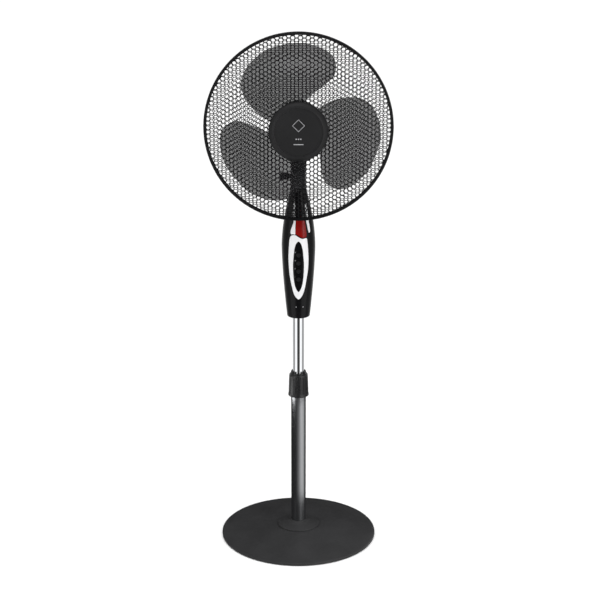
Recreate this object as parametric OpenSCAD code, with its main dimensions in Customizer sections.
// Pedestal fan: disc base, telescopic pole, control housing, tilting and oscillating head.
// Millimetres. Z is up, the origin is on the floor under the pole, the fan blows towards -Y.

/* [Base] */
// Diameter of the round base
base_d = 380; // [340:5:420]
// Height of the base cover at the pole flange
base_h = 24; // [20:1:28]
// Diameter of the flange that holds the pole
flange_d = 104; // [96:1:112]

/* [Pole] */
// Outer diameter of the fixed lower pole
pole_d = 36; // [35:0.5:37]
// Outer diameter of the sliding upper tube
tube_d = 28; // [27:0.5:28.5]
// Height of the bottom of the clamp collar
collar_z = 365; // [340:5:380]

/* [Control housing] */
// Widest diameter of the control housing
housing_d = 79.8; // [76:0.2:84]
// Spacing of the four push buttons
button_pitch = 20; // [16:1:22]
// Button diameter
button_d = 10; // [8:0.5:11]

/* [Head] */
// Height of the fan axis above the floor
axis_z = 1036; // [1036:1:1040]
// Outer diameter of the guard
guard_d = 428; // [424:1:432]
// Diameter of the circle swept by the blade tips
blade_d = 374; // [340:2:376]
// Diameter of the centre badge on the front guard
hub_d = 134; // [126:1:140]
// Outer diameter of the motor cover
motor_d = 100; // [98:1:104]

/* [Hidden] */
$fn = 96;

fit = 0.05;                  // radial clearance of a shaft in its bore
foot_h = 4;                  // rubber feet lift the ballast plate off the floor
weight_top = foot_h + 3.5;
screw_ring = 36;             // radius of the circle of screws under the pole flange
rim_z = 7;                   // top of the thin rim of the base
cover_t = 1.3;
socket_top = 38;             // the flange rises to this height around the pole
pole_r = pole_d / 2;
pole_in = pole_r - 1.5;      // inner radius of the lower pole
pole_z = [12, 404];
tube_r = tube_d / 2;
tube_z = [180, 640];
bush_h = 20;
collar_h = 55;
crown_h = 7.5;
sleeve_top = collar_z + 49;

house_z = [567, 880];        // bottom and top of the control housing
house_r = housing_d / 2;
house_wide_z = 740;          // height at which the housing is widest
house_foot_r = house_r - 12.9;
house_top_r = 17.5;
wall = 2.2;
trim_t = 1.2;                // the trim pieces stand this far proud of the housing
button_r = button_d / 2;
button_z0 = 667;             // lowest button
button_in = 26;              // distance from the axis of a button's inner end
board_y = -24;
screw_heights = [700, 800];
clamp_z = 622;
inlet_z = 600;

tilt_z = 907;                // height of the tilt hinge
neck_r = 17.5;
neck_bottom_r = 26;          // the neck's foot is a cylinder about the tilt axis
neck_top = 946;
plate_top = 950;             // swivel plate on top of the neck
plate_r = 27;
tongue_t = 12;
bolt_r = 4;
pin_r = 6;

post_x = 18.5;               // link post on the neck, beside the swivel pin
crank_x = 8;
crank_y = 40;
crank_r = 11.9;              // throw of the crank
link_z = 951.5;
link_t = 4;
swing_r = 18;                // radius of the small gear motor that drives the crank
mount_top = 989.7;

motor_r = motor_d / 2;
shaft_r = 4;
guard_r = guard_d / 2;
skin_t = 0.4;                // the guard skins stand for open wire mesh
skin_r = guard_r - 5;        // the guard skins end here, inside the band
hub_r = hub_d / 2;
ring_f = 86;                 // forward distance of the guard's middle plane
band_w = 12;
front_hub_f = 136;           // forward distance of the front guard at the hub
rear_hub_f = 30;             // forward distance of the rear guard at the motor
blade_f = [58, 104];         // forward range of the blades
blade_r = blade_d / 2;
blade_t = 2.2;
blade_hub_r = 34;

// ---- helpers -------------------------------------------------------------------------

// Ring about the Z axis between two heights
module ring(r_out, r_in, z0, z1) {
    translate([0, 0, z0]) difference() {
        cylinder(r = r_out, h = z1 - z0);
        translate([0, 0, -1]) cylinder(r = r_in, h = z1 - z0 + 2);
    }
}

// Rod along Z
module rod(r, z0, z1) { translate([0, 0, z0]) cylinder(r = r, h = z1 - z0); }

// Rod along X at a height
module rod_x(r, x0, x1, z) { translate([x0, 0, z]) rotate([0, 90, 0]) cylinder(r = r, h = x1 - x0); }

// Puts a shape drawn about Z, with z as the forward distance, on the fan axis
module on_axis() { translate([0, 0, axis_z]) rotate([90, 0, 0]) children(); }

// Copies of a child in a circle about Z
module around(n, r, start = 0) {
    for (i = [0 : n - 1]) rotate(start + i * 360 / n) translate([r, 0, 0]) children();
}

// Box given by its two corners
module box(lo, hi) { translate(lo) cube([hi[0] - lo[0], hi[1] - lo[1], hi[2] - lo[2]]); }

// Radius of the control housing at a height
function house_radius(z) = z < house_wide_z
    ? house_r - (house_r - house_foot_r) * pow((house_wide_z - z) / (house_wide_z - house_z[0]), 1.5)
    : house_r - (house_r - house_top_r) * pow((z - house_wide_z) / (house_z[1] - house_wide_z), 1.8);

// Solid of the control housing, grown or shrunk by a distance
module house_solid(grow, z0 = house_z[0], z1 = house_z[1]) {
    steps = 26;
    heights = [for (i = [0 : steps]) z0 + (z1 - z0) * i / steps];
    rotate_extrude() polygon(concat([[0, z0]],
        [for (z = heights) [house_radius(z) + grow, z]], [[0, z1]]));
}

// Part of a skin on the housing's front inside an outline in x and z
module front_skin(thickness) {
    intersection() {
        difference() { house_solid(thickness); house_solid(0.02); }
        rotate([90, 0, 0]) linear_extrude(height = 60) children();
    }
}

// Forward distance of the guard skins at a radius from the fan axis
function front_f(r) = ring_f + 4 + (front_hub_f - ring_f - 4) * (1 - pow((r - 64) / (skin_r - 64), 2));
function rear_f(r) = ring_f - 4 - (ring_f - 4 - rear_hub_f) * (1 - pow((r - 60) / (skin_r - 60), 2));

// ---- base ----------------------------------------------------------------------------

module base_cover() {
    r = base_d / 2;
    color([0.16, 0.16, 0.17]) rotate_extrude() polygon([
        [r - 3, 1.2], [r - 0.6, 1.2], [r, 1.9], [r, rim_z - 1], [r - 1.5, rim_z + 0.7],
        [flange_d / 2, base_h], [44, base_h], [44, base_h - cover_t],
        [flange_d / 2, base_h - cover_t], [r - 3, rim_z - 0.6]]);
}

module base_weight() {
    color([0.3, 0.3, 0.31]) difference() {
        rod(168, foot_h, weight_top);
        rod(bolt_r + 0.3, 0, 20);
        around(3, screw_ring, 90) rod(2.3, 0, 20);
    }
}

module base_feet() {
    color([0.08, 0.08, 0.08]) around(5, 150, 90) cylinder(r1 = 9, r2 = 10, h = foot_h);
}

module pole_socket() {
    bore = pole_r + fit;
    r = flange_d / 2;
    color([0.15, 0.15, 0.16]) difference() {
        union() {
            rotate_extrude() polygon([[bore, pole_z[0]], [26, pole_z[0]], [26, base_h],
                [r - 0.4, base_h], [r, base_h + 0.5], [r, base_h + 2], [r - 1.5, base_h + 3],
                [40, base_h + 4.6], [28, base_h + 8], [22, socket_top - 1.5], [20, socket_top],
                [bore, socket_top]]);
            ring(26, bolt_r + 0.3, weight_top, pole_z[0]);
            around(3, screw_ring, 90) rod(5, weight_top, base_h + 1);
        }
        around(3, screw_ring, 90) rod(2 + fit, 0, 22);
    }
}

module base_screws() {
    color([0.6, 0.6, 0.62]) around(3, screw_ring, 90) {
        rod(2, foot_h - 1, 20);
        rod(4.2, foot_h - 2.2, foot_h);
    }
}

module lower_pole() { color([0.2, 0.21, 0.23]) ring(pole_r, pole_in, pole_z[0], pole_z[1]); }

module pole_plug() {
    color([0.45, 0.45, 0.46]) ring(pole_in - fit, bolt_r + fit, pole_z[0] + 0.5, pole_z[0] + 28);
}

module base_bolt() {
    color([0.65, 0.65, 0.67]) {
        rod(bolt_r, foot_h - 1, 36);
        rod(14, foot_h - 1, foot_h);
        translate([0, 0, 0.7]) cylinder(r = 8, h = foot_h - 1.7, $fn = 6);
    }
}

// ---- clamp collar --------------------------------------------------------------------

module collet_sleeve() {
    top = sleeve_top;
    color([0.75, 0.75, 0.73]) difference() {
        rotate_extrude() polygon([[tube_r + fit, collar_z + 1], [pole_in - fit, collar_z + 1],
            [pole_in - fit, pole_z[1] + 0.1], [pole_r - 0.3, pole_z[1] + 0.1],
            [pole_r - 0.3, pole_z[1] + 4], [pole_r - 2.3, top], [tube_r + fit, top]]);
        for (a = [0, 90]) rotate(a) box([-40, -0.6, pole_z[1] - 12], [40, 0.6, top + 1]);
    }
}

module height_collar() {
    top = collar_z + collar_h;
    flutes = 20;
    color([0.13, 0.13, 0.14]) difference() {
        rotate_extrude() polygon([[pole_r + 0.3, collar_z], [24.6, collar_z], [25.1, collar_z + 0.8],
            [24.9, collar_z + 3], [24.1, collar_z + 5], [23.6, collar_z + 22], [22.4, top - 2],
            [21.4, top], [tube_r + 0.6, top], [tube_r + 0.6, top - 5], [pole_r - 1.4, top - 5.4],
            [pole_r + 0.3, top - 11]]);
        around(flutes, 24.9) rod(1.3, collar_z + 8, top - 5);
    }
}

module collar_crown() {
    z0 = collar_z + collar_h;
    color([0.1, 0.1, 0.11]) difference() {
        ring(19, tube_r + 0.6, z0, z0 + crown_h);
        around(12, 19) box([-1.6, -1.9, z0 + 2.5], [3, 1.9, z0 + crown_h + 1]);
    }
}

// ---- sliding column ------------------------------------------------------------------

module inner_pole() { color([0.85, 0.86, 0.88]) ring(tube_r, tube_r - 1.5, tube_z[0], tube_z[1]); }

module pole_bush() {
    color([0.8, 0.8, 0.78]) ring(pole_in - fit, tube_r, tube_z[0], tube_z[0] + bush_h);
}

// Hollow control housing with its openings, before it is split in two
module house_shell() {
    difference() {
        house_solid(0);
        house_solid(-wall, house_z[0] + 3, house_z[1] - 3);
        rod(tube_r + fit, house_z[0] - 1, house_z[0] + 10);
        rod(11.3, house_z[1] - 10, house_z[1] + 1);
        for (i = [0 : 3]) button_hole(i);
        translate([0, 60, inlet_z]) rotate([90, 0, 0]) cylinder(r = 5, h = 50);
        for (z = screw_heights) translate([0, 60, z]) rotate([90, 0, 0]) cylinder(r = 2.2, h = 50);
        translate([0, 0, clamp_z]) rotate([-90, 0, 0]) cylinder(r = 3.4, h = 60);
    }
}

// Tube socket, screw pillars and the shelf that carries the neck bracket
module house_inside() {
    intersection() {
        union() {
            ring(tube_r + 4, tube_r + fit, house_z[0] + 2, tube_z[1]);
            ring(tube_r + 4, 6, tube_z[1], tube_z[1] + 3);
            ring(30, 12, 853, 857.8);
        }
        house_solid(-wall + 0.5);
    }
}

module button_hole(i) {
    translate([0, 0, button_z0 + i * button_pitch]) rotate([90, 0, 0])
        cylinder(r = button_r + 0.35, h = 60);
}

module housing_front() {
    color([0.03, 0.03, 0.035]) intersection() {
        house_shell();
        box([-60, -60, 500], [60, 0, 900]);
    }
}

module housing_rear() {
    color([0.03, 0.03, 0.035]) difference() {
        union() {
            intersection() {
                house_shell();
                box([-60, 0, 500], [60, 60, 900]);
            }
            intersection() {
                house_inside();
                box([-60, 0, 500], [60, 60, 900]);
            }
            for (z = screw_heights) translate([0, 34, z]) rotate([90, 0, 0]) cylinder(r = 4.5, h = 14);
        }
        for (z = screw_heights) translate([0, 60, z]) rotate([90, 0, 0]) cylinder(r = 2.2, h = 50);
        translate([0, 0, clamp_z]) rotate([-90, 0, 0]) cylinder(r = 3.05, h = 60);
        rod(11.3, 850, 870);
    }
}

// Oval of the control window, in x and z
module window_outline(grow) {
    points = [[0, 635.8], [3.6, 639.6], [7.2, 648], [10, 660.5], [12, 680], [12.6, 703], [12, 714],
        [10.9, 728], [9.4, 741], [7, 750.5], [4.3, 756.2], [0, 759.8]];
    half = [for (p = points) let (away = [p[0], (p[1] - 698) / 5]) [p[0], p[1]] + grow * away / norm(away)];
    n = len(half);
    polygon(concat(half, [for (i = [n - 2 : -1 : 1]) [-half[i][0], half[i][1]]]));
}

module panel_outline() {
    polygon([[0, 617], [5.2, 621.2], [10.9, 631.7], [15.4, 649.3], [18.2, 666.9], [21, 684.4],
        [22.5, 702], [22.7, 722], [21.3, 745], [19.6, 763.4], [18.2, 766.8], [14.1, 766.2],
        [9.6, 765.8], [4.3, 767.4], [-1.1, 770.7], [-6.5, 774.1], [-11.8, 774.7], [-17.2, 772],
        [-19.9, 766.1], [-21.2, 754], [-22.5, 735.5], [-22.9, 718], [-22.3, 702], [-20.4, 678.5],
        [-17.4, 659.8], [-12.9, 638.8], [-8.4, 625.9], [-3.8, 620]]);
}

// Arms of the trim that run up beside the display, in x and z
module arm_outlines() {
    polygon([[-7.6, 776.6], [-16.4, 775.6], [-18.2, 782], [-14.6, 794.4], [-11, 806.4], [-10.6, 826],
        [-10.2, 853], [-8, 853], [-7.4, 826], [-6.4, 806.5], [-7.4, 795]]);
    polygon([[24, 778], [26.6, 782], [25.3, 793], [23.2, 804.4], [19.9, 825], [17.6, 845],
        [14.9, 845], [15.4, 826], [17.6, 805.5], [19.2, 797.4], [21.4, 786.4]]);
}

module accent_panel() {
    color([0.82, 0.82, 0.82]) front_skin(trim_t) {
        difference() {
            panel_outline();
            window_outline(0.25);
        }
        arm_outlines();
    }
}

module display_lens() {
    color([0.5, 0.05, 0.05]) front_skin(trim_t) polygon([[-7.2, 778.4], [-3.8, 776], [0.7, 772.9],
        [6, 769.4], [9.6, 768.2], [14.1, 768.6], [18, 770.8], [17.8, 781.6], [16, 794.3], [14, 806],
        [9.6, 813], [5, 817.6], [0.7, 815.4], [-4.4, 811], [-5.9, 806.5], [-6.7, 795]]);
}

module control_window() {
    color([0.02, 0.02, 0.02]) difference() {
        front_skin(trim_t + 0.3) window_outline(0);
        for (i = [0 : 3]) button_hole(i);
    }
}

module circuit_board() {
    color([0.1, 0.35, 0.15]) {
        box([-13, board_y, 652], [13, board_y + 1.6, 742]);
        for (z = [676, 696, 716]) box([-8, board_y + 1.6, z], [8, board_y + 5, z + 8]);
    }
}

module housing_screws() {
    color([0.6, 0.6, 0.62]) for (z = screw_heights) {
        translate([0, house_radius(z) - 1.5, z]) rotate([90, 0, 0]) cylinder(r = 2.1, h = 16);
    }
}

module clamp_screw() {
    color([0.1, 0.1, 0.1]) {
        translate([0, tube_r + 0.2, clamp_z]) rotate([-90, 0, 0]) cylinder(r = 3, h = 18);
        translate([0, house_radius(clamp_z) + 1, clamp_z]) rotate([-90, 0, 0]) cylinder(r = 9, h = 8);
    }
}

module indicator_lenses() {
    color([0.7, 0.7, 0.72]) intersection() {
        for (x = [-5.6, 10.4]) translate([x, -15, 597]) rotate([90, 0, 0]) cylinder(r = 1.4, h = 30);
        difference() { house_solid(0.5); house_solid(0.02); }
    }
}

module cord_inlet() {
    flange_r = 7;
    seat = house_radius(inlet_z + flange_r) + 0.2;
    color([0.06, 0.06, 0.06]) translate([0, 0, inlet_z]) rotate([-90, 0, 0]) difference() {
        union() {
            rod(4.95, 22, seat + 1);
            rod(flange_r, seat, seat + 2.5);
        }
        rod(3.2, 20, 50);
    }
}

module neck_bracket() {
    color([0.35, 0.35, 0.36]) difference() {
        union() {
            rod(18, 858, 863);
            rod(11, 862, house_z[1]);
            box([-tongue_t / 2, -6, house_z[1] - 4], [tongue_t / 2, 6, tilt_z]);
            rod_x(8, -tongue_t / 2, tongue_t / 2, tilt_z);
        }
        rod_x(bolt_r + fit, -10, 10, tilt_z);
    }
}

// Push button, sliding towards the board
module button(i) {
    z = button_z0 + i * button_pitch;
    face = house_radius(z) + trim_t + 1.6;
    color([0.12, 0.12, 0.13]) translate([0, -button_in, z]) rotate([90, 0, 0]) {
        cylinder(r = button_r, h = face - button_in - 0.8);
        translate([0, 0, face - button_in - 0.8]) cylinder(r1 = button_r, r2 = button_r - 0.8, h = 0.8);
    }
}
module button_1() { button(0); }
module button_2() { button(1); }
module button_3() { button(2); }
module button_4() { button(3); }

// ---- tilting neck --------------------------------------------------------------------

module neck() {
    slot = tongue_t / 2 + 0.4;
    color([0.1, 0.1, 0.11]) difference() {
        union() {
            intersection() {
                rod(neck_r, tilt_z - neck_bottom_r, neck_top + 1);
                union() {
                    rod_x(neck_bottom_r, -30, 30, tilt_z);
                    box([-30, -30, tilt_z], [30, 30, neck_top + 1]);
                }
            }
            rod(plate_r, neck_top, plate_top);
        }
        box([-slot, -13, tilt_z - 40], [slot, 40, tilt_z]);
        rod_x(8.6, -slot, slot, tilt_z);
        rod_x(bolt_r + fit, -30, 30, tilt_z);
        translate([13, 0, tilt_z]) rotate([0, 90, 0]) cylinder(r = 7.1, h = 10, $fn = 6);
        rod(pin_r, 934, 960);
        translate([post_x, 0, 0]) rod(3, 946.5, 960);
    }
}

module tilt_nut() {
    color([0.6, 0.6, 0.62]) difference() {
        translate([13, 0, tilt_z]) rotate([0, 90, 0]) cylinder(r = 7, h = 4.3, $fn = 6);
        rod_x(bolt_r + fit, 0, 30, tilt_z);
    }
}

module swivel_pin() {
    color([0.6, 0.6, 0.62]) {
        rod(pin_r, 934, 972);
        rod(8, 971.4, 973.4);
    }
}

module link_post() {
    color([0.6, 0.6, 0.62]) translate([post_x, 0, 0]) {
        rod(3, 946.5, 957.5);
        rod(5, 956, 957.5);
    }
}

module tilt_knob() {
    color([0.08, 0.08, 0.09]) difference() {
        union() {
            rod_x(6, -24, -neck_r - 0.5, tilt_z);
            rod_x(8.75, -43, -23, tilt_z);
        }
        rod_x(bolt_r, -36, 0, tilt_z);
        for (a = [0 : 30 : 359]) translate([0, 0, tilt_z]) rotate([a, 0, 0]) translate([0, 0, -tilt_z])
            rod_x(1, -44, -25, tilt_z + 9.1);
    }
}

module tilt_bolt() { color([0.6, 0.6, 0.62]) rod_x(bolt_r, -36, neck_r - 0.5, tilt_z); }

// ---- head: motor and swing drive -----------------------------------------------------

module motor_mount() {
    color([0.3, 0.3, 0.31]) difference() {
        union() {
            rod(9, plate_top + 0.5, 964);
            rod(12, 960.5, 968);
            box([-16, -19.8, 963], [16, 21.5, mount_top]);
        }
        rod(pin_r + fit, 940, 980);
        rod(9, 971, 1000);
    }
}

module front_plate() {
    color([0.12, 0.12, 0.13]) on_axis() difference() {
        union() {
            rod(motor_r, 20, 28);
            rod(19.5, 28, 42);
        }
        rod(11, 0, 60);
        around(10, 40) rod(3.5, 10, 30);
    }
}

// Solid of the motor cover about Z, grown by a distance; it tapers to the rear
module cover_solid(grow) {
    front = 20;
    tail_f = -78;
    tail_r = 14;
    rear_r = 35.5;
    depth = 15;
    steps = 8;
    tail = [for (i = [0 : steps]) let (a = 90 * i / steps)
        [tail_r + (rear_r - tail_r) * cos(a) + grow, tail_f - (depth + grow) * sin(a)]];
    rotate_extrude() polygon(concat([[0, front], [motor_r + grow, front], [motor_r + grow, 8],
        [46.8 + grow, -14], [43.2 + grow, -38], [39.4 + grow, -60]], tail, [[0, tail_f - depth - grow]]));
}

module motor_cover() {
    rear = -93;
    color([0.1, 0.1, 0.11]) difference() {
        on_axis() difference() {
            cover_solid(0);
            cover_solid(-2.5);
            rod(motor_r - 2.5, 10, 30);
            rod(2.6, rear - 1, rear + 5);
            around(14, 22) box([-6, -1.4, rear - 2], [8, 1.4, rear + 20]);
            for (s = [-1, 1]) for (k = [0 : 5]) rotate(90 - s * (66 + k * 10))
                box([30, -1.4, -64], [52, 1.4, -28]);
        }
        box([-16.2, -21, 900], [16.2, 22, mount_top + 1.8]);
    }
}

module stator() {
    color([0.5, 0.5, 0.52]) on_axis() difference() {
        ring(39, 24, -32, 2);
        around(12, 29) box([-8, -2, -33], [4, 2, 3]);
    }
}

module windings() {
    color([0.7, 0.35, 0.15]) on_axis() {
        for (f = [-36.2, 6.2]) translate([0, 0, f]) rotate_extrude() translate([33.5, 0]) circle(r = 4);
    }
}

module end_brackets() {
    color([0.6, 0.6, 0.62]) on_axis() {
        ring(46, shaft_r + fit, 12, 18);
        ring(36.5, shaft_r + fit, -48, -42);
    }
}

// Post between the rear bracket and the screw that holds the cover
module cover_post() {
    color([0.6, 0.6, 0.62]) on_axis() difference() {
        union() {
            rod(12, -62, -48.2);
            rod(5, -90.2, -61);
        }
        rod(6.5, -59, -40);
        rod(2 + fit, -95, -75);
    }
}

module cover_screw() {
    color([0.6, 0.6, 0.62]) on_axis() {
        rod(2, -94, -76);
        rod(4.5, -95.5, -93.1);
    }
}

// Pod under the motor that holds the swing motor
module swing_case() {
    color([0.1, 0.1, 0.11]) difference() {
        translate([crank_x, crank_y, 0]) difference() {
            rod(swing_r + 3, 963.4, 1004);
            rod(swing_r + 0.4, 965.4, 983.2);
            rod(swing_r + 0.4, 985, 1010);
            rod(5.5, 960, 966);
        }
        box([-60, -60, 900], [60, 21.8, 1010]);
        on_axis() cover_solid(0.3);
    }
}

module swing_motor() {
    color([0.7, 0.7, 0.72]) translate([crank_x, crank_y, 0]) ring(swing_r, 4 + fit, 965.6, 983);
}

module capacitor() { color([0.75, 0.75, 0.75]) box([-29, 55, 1023], [-15, 72, 1049]); }

module link_arm() {
    dx = crank_x + crank_r - post_x;
    dy = crank_y;
    length = sqrt(dx * dx + dy * dy);
    color([0.65, 0.65, 0.66]) translate([post_x, 0, link_z]) rotate(atan2(dy, dx)) difference() {
        union() {
            cylinder(r = 7, h = link_t);
            translate([0, -3.6, 0]) cube([length, 7.2, link_t]);
            translate([length, 0, 0]) cylinder(r = 8.2, h = link_t);
        }
        translate([0, 0, -1]) cylinder(r = 3 + fit, h = link_t + 2);
        translate([length, 0, -1]) cylinder(r = 5.2, h = link_t + 2);
    }
}

module crank() {
    color([0.65, 0.63, 0.5]) translate([crank_x, crank_y, 0]) {
        rod(4, 960, 978);
        rod(16, 958, 962.5);
        translate([crank_r, 0, 0]) rod(2.5, 950.8, 959);
    }
}

// ---- rotor and blade -----------------------------------------------------------------

module rotor() { color([0.55, 0.55, 0.57]) on_axis() ring(23.6, shaft_r, -32, 2); }

module motor_shaft() {
    color([0.75, 0.75, 0.77]) on_axis() {
        rod(shaft_r, -56, 116);
        translate([0, 0, 66]) rotate([0, 90, 0]) cylinder(r = 1.5, h = 18, center = true);
    }
}

// Angles of the leading and trailing edges of the top blade at a radius
function edge_hi(r) = let (t = max(0, (r - 60) / (blade_r - 60))) 166 - 28 * pow(t, 1.2) - 26 * pow(t, 12);
function edge_lo(r) = let (in = max(0, 1 - r / 140), out = max(0, (r - 140) / (blade_r - 140)))
    55 + 62 * in * in + 12 * pow(out, 1.5) + 20 * pow(out, 10);

// One blade: a helical sheet with a little camber
module blade(turn) {
    nr = 18;
    nt = 12;
    radius = function(i) blade_hub_r - 5 + (blade_r - blade_hub_r + 5) * sin(90 * i / nr);
    angle = function(i, j) edge_lo(radius(i)) + (edge_hi(radius(i)) - edge_lo(radius(i))) * j / nt;
    forward = function(a) blade_f[0] + 9 + 30 * (a - 55) / 111;
    camber = function(j) 5 * sin(180 * j / nt);
    sheet = function(side) [for (i = [0 : nr]) for (j = [0 : nt]) let (a = angle(i, j))
        [radius(i) * cos(a + turn), radius(i) * sin(a + turn),
            forward(a) - camber(j) + side * blade_t / 2]];
    n = (nr + 1) * (nt + 1);
    id = function(i, j) i * (nt + 1) + j;
    top = [for (i = [0 : nr - 1]) for (j = [0 : nt - 1]) each
        [[id(i, j), id(i, j + 1), id(i + 1, j)], [id(i, j + 1), id(i + 1, j + 1), id(i + 1, j)]]];
    bottom = [for (t = top) [t[0] + n, t[2] + n, t[1] + n]];
    loop = concat([for (j = [0 : nt - 1]) id(0, j)], [for (i = [0 : nr - 1]) id(i, nt)],
        [for (j = [nt : -1 : 1]) id(nr, j)], [for (i = [nr : -1 : 1]) id(i, 0)]);
    m = len(loop);
    sides = [for (k = [0 : m - 1]) let (a = loop[k], b = loop[(k + 1) % m]) each
        [[a, a + n, b], [b, a + n, b + n]]];
    polyhedron(points = concat(sheet(1), sheet(-1)), faces = concat(top, bottom, sides));
}

module fan_blade() {
    color([0.2, 0.2, 0.21]) on_axis() difference() {
        union() {
            for (k = [0 : 2]) blade(k * 120);
            rotate_extrude() polygon([[8, blade_f[0]], [blade_hub_r, blade_f[0]],
                [blade_hub_r, blade_f[1] - 4], [blade_hub_r - 4, blade_f[1]], [8, blade_f[1]]]);
        }
        rod(shaft_r + 0.02, 40, 120);
        rod(blade_hub_r - 3, 50, blade_f[0] + 20);
    }
}

module blade_nut() {
    color([0.08, 0.08, 0.09]) on_axis() difference() {
        union() {
            rod(16, blade_f[1] + 0.2, 112);
            translate([0, 0, 112]) cylinder(r1 = 14, r2 = 9, h = 8);
        }
        rod(shaft_r + 0.02, 90, 116.5);
    }
}

// ---- guard ---------------------------------------------------------------------------

// Thin dished skin between two radii, with a round wire at the outer edge
module dish(f, r0, t) {
    steps = 12;
    radii = [for (i = [0 : steps]) r0 + (skin_r - r0) * i / steps];
    rotate_extrude() polygon(concat([for (r = radii) [r, f(r)]],
        [for (i = [steps : -1 : 0]) [radii[i], f(radii[i]) + t]]));
}

module rear_guard() {
    color([0.06, 0.06, 0.065]) on_axis() {
        dish(function(r) rear_f(r), 60, skin_t);
        ring(62, 20, rear_hub_f - 1.2, rear_hub_f + 0.2);
        translate([0, 0, ring_f - 3.2]) rotate_extrude() translate([skin_r + 0.2, 0]) circle(r = 2);
    }
}

module front_guard() {
    color([0.06, 0.06, 0.065]) on_axis() {
        dish(function(r) front_f(r), 60, skin_t);
        ring(62, 26, front_hub_f - 0.6, front_hub_f + 0.6);
        translate([0, 0, ring_f + 3.2]) rotate_extrude() translate([skin_r + 0.2, 0]) circle(r = 2);
    }
}

module guard_band() {
    r = guard_r;
    f0 = ring_f - band_w / 2;
    f1 = ring_f + band_w / 2;
    color([0.05, 0.05, 0.055]) on_axis() rotate_extrude() polygon([[r - 5.5, f0], [r - 0.8, f0],
        [r, f0 + 0.8], [r, f1 - 0.8], [r - 0.8, f1], [r - 5.5, f1], [r - 5.5, f1 - 0.7],
        [r - 2.4, f1 - 0.7], [r - 2.4, f0 + 0.7], [r - 5.5, f0 + 0.7]]);
}

module guard_nut() {
    color([0.08, 0.08, 0.09]) on_axis() difference() {
        union() {
            rod(32, rear_hub_f + 1, rear_hub_f + 5);
            rod(26, rear_hub_f + 5, rear_hub_f + 11);
        }
        rod(19.5 + fit, 20, 60);
        around(12, 27) rod(2.2, rear_hub_f + 4.9, rear_hub_f + 12);
    }
}

module hub_cap() {
    f = front_hub_f + 1;
    color([0.14, 0.14, 0.15]) on_axis() rotate_extrude() polygon([[0, f + 10.2], [51, f + 10.2],
        [51.6, f + 11.4], [52.5, f + 12], [60, f + 9.4], [64.5, f + 5], [hub_r, f + 0.6], [hub_r - 0.6, f],
        [hub_r - 2.6, f], [62.5, f + 3.4], [58.5, f + 7], [51, f + 8.2], [0, f + 8.2]]);
}

base_cover();
base_weight();
base_feet();
pole_socket();
base_screws();
lower_pole();
pole_plug();
base_bolt();
collet_sleeve();
height_collar();
collar_crown();
inner_pole();
pole_bush();
housing_front();
housing_rear();
accent_panel();
display_lens();
control_window();
circuit_board();
housing_screws();
clamp_screw();
indicator_lenses();
cord_inlet();
neck_bracket();
button_1();
button_2();
button_3();
button_4();
neck();
tilt_nut();
swivel_pin();
link_post();
tilt_knob();
tilt_bolt();
motor_mount();
front_plate();
motor_cover();
stator();
windings();
end_brackets();
cover_post();
cover_screw();
swing_case();
swing_motor();
capacitor();
rear_guard();
guard_nut();
front_guard();
hub_cap();
guard_band();
link_arm();
crank();
rotor();
motor_shaft();
fan_blade();
blade_nut();
